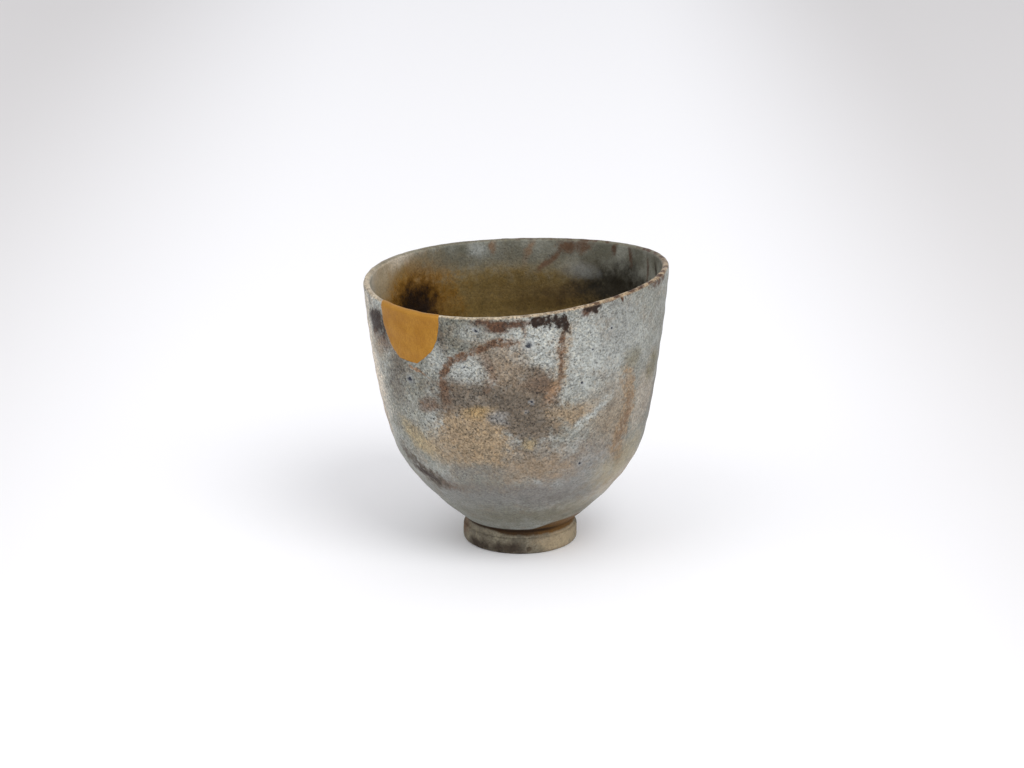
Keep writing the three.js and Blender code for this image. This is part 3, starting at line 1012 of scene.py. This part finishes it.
def outside_wall(steps):
    """The bowl's outside from the neck to the belly, and the wall's from there up to the rim."""
    neck, belly = (NECK_RADIUS, FOOT_HEIGHT), (BELLY_RADIUS, BELLY_HEIGHT)
    rim, heading = (RIM_RADIUS, LIP_HEIGHT), pi / 2 - BELLY_FLARE
    bowl = sweep(neck, BOWL_START, BOWL_HOLD[0], belly, heading, BOWL_HOLD[1], steps[0])
    wall = sweep(belly, heading, WALL_HOLD[0], rim, pi / 2 - RIM_FLARE, WALL_HOLD[1], steps[1])
    return bowl, wall


def inside_wall(steps):
    """The inside from the rim down to the belly, and from there to the middle of the well."""
    rim = (RIM_RADIUS - LIP_THICKNESS, LIP_HEIGHT)
    belly, heading = (BELLY_RADIUS - WALL_THICKNESS, BELLY_HEIGHT), pi / 2 - BELLY_FLARE
    wall = sweep(belly, heading, WALL_HOLD[0], rim, pi / 2 - RIM_FLARE, WALL_HOLD[1], steps[0])
    well = sweep((0, WELL_HEIGHT), 0, WELL_HOLD[0], belly, heading, WELL_HOLD[1], steps[1])
    return wall[::-1], well[::-1]


def foot_section():
    outer = (FOOT_RADIUS - SOLE_ROUND, SOLE_ROUND)
    inner = (FOOT_RADIUS - SOLE_ROUND - SOLE_WIDTH, SOLE_ROUND)
    recess = inner[0] - SOLE_ROUND - RECESS_TAPER
    inner_round = arc(inner, SOLE_ROUND, pi, pi * 1.5, STEPS["round"])
    outer_round = arc(outer, SOLE_ROUND, -pi / 2, 0, STEPS["round"])
    upper = (FOOT_RADIUS - SOLE_ROUND, RING_HEIGHT - SOLE_ROUND)
    shoulder = arc(upper, SOLE_ROUND, 0, SHOULDER, STEPS["shoulder"])
    groove = (NECK_RADIUS - NECK_GROOVE, FOOT_HEIGHT - GROOVE_DROP)
    return [
        line((0, RECESS_DEPTH), (recess, RECESS_DEPTH), STEPS["ceiling"]),
        line((recess, RECESS_DEPTH), inner_round[0], STEPS["recess"])[1:],
        inner_round[1:],
        line(inner_round[-1], outer_round[0], STEPS["sole"])[1:],
        outer_round[1:],
        line(outer_round[-1], shoulder[0], STEPS["ring"])[1:],
        shoulder[1:],
        line(shoulder[-1], groove, STEPS["ledge"])[1:],
    ]


def whole_section():
    """The half section of the cup, and for each of its points the part of the cup that it is on."""
    bowl, wall = outside_wall((STEPS["bowl"], STEPS["wall"]))
    inner_wall, well = inside_wall((STEPS["inside"], STEPS["well"]))
    lip = arc((RIM_RADIUS - LIP_RADIUS, LIP_HEIGHT), LIP_RADIUS, 0, pi, STEPS["lip"])
    parts = [("foot", part) for part in foot_section()]
    parts += [("outside", bowl), ("outside", wall[1:]), ("lip", lip[1:])]
    parts += [("inside", inner_wall[1:]), ("inside", well[1:])]
    points = np.concatenate([part for _, part in parts])
    kinds = np.concatenate([[kind] * len(part) for kind, part in parts])
    return points, kinds


def swell(wave, turn):
    size, at, waves = wave
    return size * np.cos(waves * (turn - at))


def climb(height):
    """How far up the bowl a height is: 0 at the foot, 1 at the rim."""
    return np.maximum(0, (height - FOOT_HEIGHT) / (CUP_HEIGHT - FOOT_HEIGHT))


def stretch_at(turn, share):
    return 1 + swell(MOUTH_OVAL, turn) / RIM_RADIUS * share ** OVAL_GROWTH


def drift_at(share):
    return RIM_DRIFT * np.sin(np.minimum(share, 1) * pi / 2)


def rise_at(turn, share):
    return (swell(RIM_TILT, turn) + swell(RIM_SADDLE, turn)) * share ** RISE_GROWTH


def warped(turn, radius, height):
    """Where the kiln left a point of the thrown form. All three may be arrays."""
    share = climb(height)
    wide = radius * stretch_at(turn, share)
    return np.stack((wide * np.sin(turn) + drift_at(share), -wide * np.cos(turn),
                     height + rise_at(turn, share)), -1)


def wobble(points, size, seed):
    """Smooth noise, -1 to 1, over points of the wall. Size is the width of its lumps."""
    shift = Vector((seed * 11.3, seed * 5.7, seed * 2.1))
    return np.array([noise.noise(Vector(p) / size + shift) for p in points.reshape(-1, 3)]).reshape(
        points.shape[:-1])


def lumps(place, size, seed):
    width, rise = size
    return wobble(place, width * MM, seed) * rise


def rings(place, height, spiral, size, sway, seed):
    """The ridges that the thrower's fingers left as they climbed the turning wall."""
    pitch, rise = size
    swayed = sway * wobble(place, RING_SWAY * MM, seed)
    return np.sin(2 * pi * (height / (pitch * MM) + spiral) + swayed) * rise


def clay_relief(kind, turn, radius, height):
    """How far the hand, the tool and the fire moved the surface, along its outward normal."""
    place = np.stack((radius * np.sin(turn), -radius * np.cos(turn), height), -1)
    grit = lumps(place, GRIT, 3)
    if kind == "foot":
        edge = lumps(place, FOOT_NICKS, 8) + lumps(place, FOOT_LUMPS, 9)
        return (edge + grit) * np.clip(height / (CALM_SOLE * MM), 0, 1) * MM
    clay = lumps(place, WIDE_LUMPS, 1) + lumps(place, SMALL_LUMPS, 2)
    if kind == "lip":
        return (clay * 0.35 + lumps(place, LIP_NICKS, 6) + grit) * MM
    spiral = turn / (2 * pi)
    near_lip = np.clip((LIP_HEIGHT - height) / (CALM_LIP * MM), 0, 1)
    if kind == "inside":
        ridges = rings(place, height, spiral, INNER_RINGS, 2, 7)
        return (clay * (0.35 + 0.45 * near_lip) + ridges * near_lip + grit) * MM
    ridges = rings(place, height, spiral, OUTER_RINGS, 3, 4)
    near_foot = np.clip((height - FOOT_HEIGHT) / (CALM_FOOT * MM), 0, 1)
    pitch, depth = TOOL_MARKS
    tool = np.sin(2 * pi * height / (pitch * MM) + 2 * wobble(place, TOOL_SWAY * MM, 5)) * depth
    tool = tool * np.clip(1 - (height - FOOT_HEIGHT) / (TOOL_REACH * MM), 0, 1)
    calm = (0.25 + 0.75 * near_foot) * (0.35 + 0.65 * near_lip)
    return (clay * calm + ridges * near_foot + grit + tool) * MM


def normals_of(section):
    along = np.gradient(section, axis=0)
    across = np.stack((along[:, 1], -along[:, 0]), 1)
    return across / np.linalg.norm(across, axis=1, keepdims=True)


def mesh_object(name, points, faces, material):
    mesh = bpy.data.meshes.new(name)
    mesh.from_pydata([tuple(place) for place in points], [], faces)
    mesh.validate()
    mesh.materials.append(material)
    thing = bpy.data.objects.new(name, mesh)
    bpy.context.collection.objects.link(thing)
    return thing


def thrown_cup():
    """Points and faces of the whole cup before its chip, with its relief."""
    section, kinds = whole_section()
    normals = normals_of(section)
    turns = np.arange(TURN_STEPS) * 2 * pi / TURN_STEPS
    rows = []
    for point, kind, normal in zip(section, kinds, normals):
        radius, height = np.full(TURN_STEPS, point[0]), np.full(TURN_STEPS, point[1])
        relief = clay_relief(kind, turns, radius, height)
        rows.append(warped(turns, radius + relief * normal[0], height + relief * normal[1]))
    bottom, top = rows[0].mean(axis=0), rows[-1].mean(axis=0)
    points = np.concatenate([bottom[None], *rows[1:-1], top[None]])
    faces = []
    last = len(points) - 1
    bands = len(rows) - 2
    for i in range(TURN_STEPS):
        j = (i + 1) % TURN_STEPS
        faces.append((0, 1 + j, 1 + i))
        for row in range(bands - 1):
            low, high = 1 + row * TURN_STEPS, 1 + (row + 1) * TURN_STEPS
            faces.append((low + i, low + j, high + j, high + i))
        low = 1 + (bands - 1) * TURN_STEPS
        faces.append((low + i, low + j, last))
    return points, faces


def eased(a, b, c, d, t):
    """A point on the way from b to c that leaves and arrives in line with a and d."""
    leave, arrive = t ** 3 - 2 * t ** 2 + t, t ** 3 - t ** 2
    return ((2 * t ** 3 - 3 * t ** 2 + 1) * b + (3 * t ** 2 - 2 * t ** 3) * c
            + CORNER_HOLD * (leave * (c - a) + arrive * (d - b)))


def broken_line(margin):
    """The broken edge, across and up from the lip, with its corners eased and grown by a margin."""
    corners = [np.array((across * CHIP_WIDTH / 2, -down * CHIP_DEPTH)) for across, down in BROKEN_EDGE]
    corners = [2 * corners[0] - corners[1]] + corners + [2 * corners[-1] - corners[-2]]
    points = [eased(*four, t) for four in zip(corners, corners[1:], corners[2:], corners[3:])
              for t in np.arange(0, 1, 1 / BREAK_STEPS)]
    points = np.array(points + [corners[-2]])
    teeth = [noise.noise(Vector((*(p / BREAK_GRAIN), 3.0))) * BREAK_TEETH for p in points]
    along = np.gradient(points, axis=0)
    along /= np.linalg.norm(along, axis=1, keepdims=True)
    away = np.stack((along[:, 1], -along[:, 0]), 1)
    return points + away * (margin + np.array(teeth))[:, None]


def chip_lip():
    """The point of the lip that the chip's sizes start from, and the flake's directions."""
    outward = np.array((sin(FLAKE_TURN), -cos(FLAKE_TURN), 0))
    across = np.array((cos(FLAKE_TURN), sin(FLAKE_TURN), 0))
    lip = warped(np.array(CHIP_TURN), RIM_RADIUS, CUP_HEIGHT)
    return lip, across, outward


def turn_at(across, radius, height):
    """The turn of a point of the thrown form that the kiln left this far across the chip."""
    lip, way, _ = chip_lip()
    share = climb(height)
    turn = CHIP_TURN
    for _ in range(3):
        reach = across + lip @ way - drift_at(share) * cos(FLAKE_TURN)
        turn = FLAKE_TURN + np.arcsin(reach / (radius * stretch_at(turn, share)))
    return turn


def cut_chip(cup):
    """Breaks the chip out of the cup, through the wall along the way that the flake came off."""
    lip, across, outward = chip_lip()
    outline = broken_line(0)
    top = [(outline[-1][0], CUT_REACH), (outline[0][0], CUT_REACH)]
    outline = np.concatenate([outline, top])
    count = len(outline)
    points = []
    for depth in (-(WALL_THICKNESS + CUT_REACH), CUT_REACH):
        for s, up in outline:
            points.append(lip + across * s + np.array((0, 0, up)) + outward * depth)
    faces = [tuple(range(count)), tuple(range(2 * count - 1, count - 1, -1))]
    faces += [(i, i + count, (i + 1) % count + count, (i + 1) % count) for i in range(count)]
    cutter = mesh_object("chip_cutter", points, faces, cup.data.materials[0])
    face_outwards(cutter)
    cut = cup.modifiers.new("chip", "BOOLEAN")
    cut.operation = "DIFFERENCE"
    cut.solver = "EXACT"
    cut.object = cutter
    whole = cup.data
    result = cup.evaluated_get(bpy.context.evaluated_depsgraph_get())
    cup.data = bpy.data.meshes.new_from_object(result)
    cup.modifiers.clear()
    bpy.data.objects.remove(cutter)
    bpy.data.meshes.remove(whole)


def face_outwards(thing):
    """Turns every face of a closed piece to look out of it."""
    work = bmesh.new()
    work.from_mesh(thing.data)
    bmesh.ops.recalc_face_normals(work, faces=work.faces)
    work.to_mesh(thing.data)
    work.free()


def profile_at(curve, heights):
    """Radius and normal of a profile curve at given heights."""
    if curve[0, 1] > curve[-1, 1]:
        curve = curve[::-1]
    radius = np.interp(heights, curve[:, 1], curve[:, 0])
    slope = np.gradient(curve[:, 0], curve[:, 1])
    slope = np.interp(heights, curve[:, 1], slope)
    length = np.sqrt(1 + slope ** 2)
    return radius, 1 / length, -slope / length


def gold_skin(kind, across, up, proud):
    """Points of the gold's outer or inner skin, from places across and up from the lip."""
    lip, _, _ = chip_lip()
    outer = kind == "outside"
    curve = outside_wall((60, 120))[1] if outer else inside_wall((120, 60))[0]
    target = lip[2] + up
    turn, height = turn_at(across, RIM_RADIUS, LIP_HEIGHT), target
    for _ in range(5):
        height = np.minimum(target - rise_at(turn, climb(height)), LIP_HEIGHT)
        radius, out, rise = profile_at(curve, height)
        turn = turn_at(across, radius, height)
    relief = clay_relief(kind, turn, radius, height) + proud
    way = 1 if outer else -1
    return warped(turn, radius + relief * out * way, height + relief * rise * way)


def gold_rows():
    """Rows of points up the gold's outside, over the lip and down its inside."""
    outline = broken_line(GOLD_LAP)
    low = int(np.argmin(outline[:, 1]))
    left, right = outline[: low + 1][::-1], outline[low:]
    bottom = outline[low, 1]
    lip, _, _ = chip_lip()
    columns, levels, over = GOLD_STEPS
    # Points stand closer near the borders, where the gold rounds off.
    ease = np.linspace(0, 1, columns + 1)
    ease = 0.45 * ease + 0.55 * (0.5 - 0.5 * np.cos(pi * ease))
    depth = np.linspace(0, 1, levels + 1)
    depth = 0.5 * depth + 0.5 * np.sin(depth * pi / 2) ** 2
    span = left[-1, 0] + (right[-1, 0] - left[-1, 0]) * ease
    skins = {}
    for kind, radius in (("outside", RIM_RADIUS), ("inside", RIM_RADIUS - LIP_THICKNESS)):
        crest = rise_at(turn_at(span, radius, LIP_HEIGHT), climb(LIP_HEIGHT)) + LIP_HEIGHT - lip[2]
        flat = []
        for share in depth:
            up = bottom + (crest - bottom) * share
            start = np.interp(up[0], left[:, 1], left[:, 0])
            end = np.interp(up[-1], right[:, 1], right[:, 0])
            flat.append(np.stack((start + (end - start) * ease, up), -1))
        flat = np.array(flat)
        gap = np.min(np.linalg.norm(flat[:, :, None] - outline[None, None], axis=-1), axis=-1)
        proud = GOLD_PROUD * (1 - np.exp(-gap / GOLD_ROUND)) - GOLD_TUCK * np.exp(-gap / GOLD_BITE)
        skins[kind] = gold_skin(kind, flat[:, :, 0], flat[:, :, 1], proud)
    rows = list(skins["outside"])
    for angle in np.linspace(0, pi, over + 1)[1:-1]:
        radius = np.full(columns + 1, RIM_RADIUS - LIP_RADIUS + LIP_RADIUS * cos(angle))
        height = np.full(columns + 1, LIP_HEIGHT + LIP_RADIUS * sin(angle))
        turn = turn_at(span, radius, height)
        relief = clay_relief("lip", turn, radius, height) + proud[-1]
        rows.append(warped(turn, radius + relief * cos(angle), height + relief * sin(angle)))
    return np.array(rows + list(skins["inside"][::-1]))


def gold_fill(material):
    """The fill: gold skins outside and inside that meet over the lip, closed along the break."""
    rows = gold_rows()
    count, width = rows.shape[0], rows.shape[1]
    levels = GOLD_STEPS[1]
    faces = []
    for r in range(count - 1):
        for c in range(width - 1):
            a = r * width + c
            faces.append((a, a + 1, a + 1 + width, a + width))
    for c in (0, width - 1):
        for r in range(levels):
            a, b = r * width + c, (r + 1) * width + c
            faces.append((a, b, (count - 2 - r) * width + c, (count - 1 - r) * width + c))
        faces.append(tuple(r * width + c for r in range(levels, count - levels)))
    fill = mesh_object("gold_fill", rows.reshape(-1, 3), faces, material)
    work = bmesh.new()
    work.from_mesh(fill.data)
    bmesh.ops.remove_doubles(work, verts=work.verts, dist=0.002 * MM)
    bmesh.ops.dissolve_degenerate(work, edges=work.edges, dist=0.001 * MM)
    bmesh.ops.recalc_face_normals(work, faces=work.faces)
    work.to_mesh(fill.data)
    work.free()
    return fill


def build_cup():
    """The cup and its fill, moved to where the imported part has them: centred on the plain rim."""
    points, faces = thrown_cup()
    cup = mesh_object("cup", points, faces, stoneware_glaze())
    face_outwards(cup)
    cut_chip(cup)
    fill = gold_fill(gold_lacquer())
    rim = warped(np.linspace(-pi, pi, 721), RIM_RADIUS, LIP_HEIGHT)
    middle = (rim.min(axis=0) + rim.max(axis=0)) / 2
    for thing, node, slot in (
        (cup, "cup_body", "stoneware_glaze"), (fill, "gold_repair", "gold_lacquer"),
    ):
        for vertex in thing.data.vertices:
            vertex.co.x -= middle[0]
            vertex.co.y -= middle[1]
        thing.data.shade_smooth()
        thing.data.set_sharp_from_angle(angle=SHARP_EDGE)
        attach(thing, "root")
        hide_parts(node)


stand_camera()
set_stage()
build_cup()
